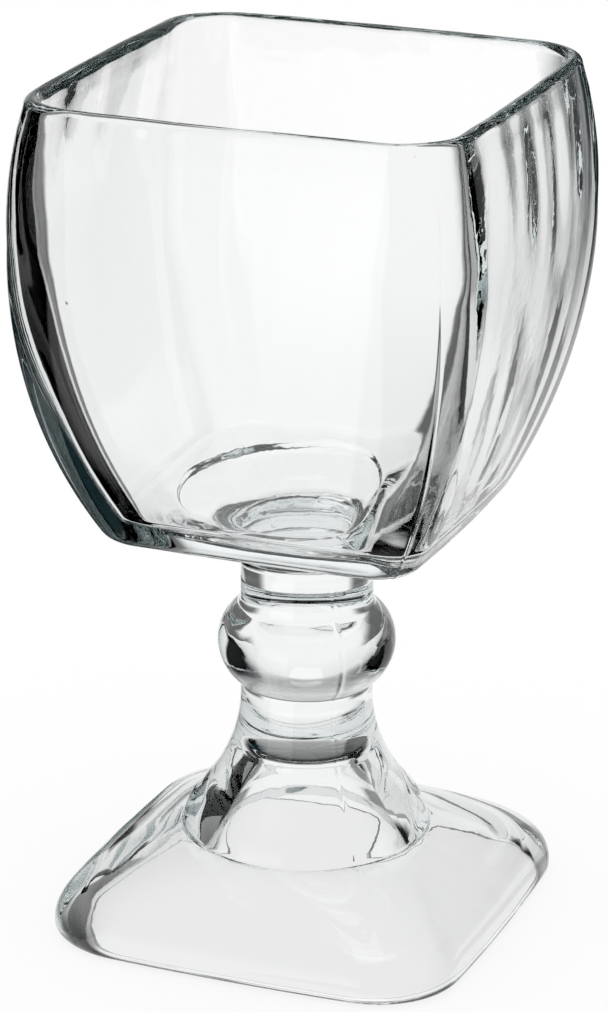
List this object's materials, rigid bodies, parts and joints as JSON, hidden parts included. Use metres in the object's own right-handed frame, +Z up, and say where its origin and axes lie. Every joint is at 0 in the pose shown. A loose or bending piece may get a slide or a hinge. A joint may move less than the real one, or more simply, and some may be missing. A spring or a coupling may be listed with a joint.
{
  "type": "stemmed square cocktail glass",
  "caption": "Heavy clear pressed-glass goblet with a bellied square bowl, a short knopped stem and a square hollow foot, for serving seafood cocktails and drinks.",
  "frame": {"origin": "centre of the square foot, on the surface that the glass stands on", "axes": "+Z up along the axis of the stem, +X and +Y square to the sides of the bowl and foot"},
  "size_m": [0.1012, 0.1012, 0.18],
  "materials": {
    "clear_glass": "fire-polished pressed glass, clear with a faint green-grey tint in its thick edges"
  },
  "bodies": {
    "root": {"bowl": "clear_glass", "neck": "clear_glass", "knop": "clear_glass", "stem": "clear_glass", "foot": "clear_glass"}
  },
  "joints": []
}
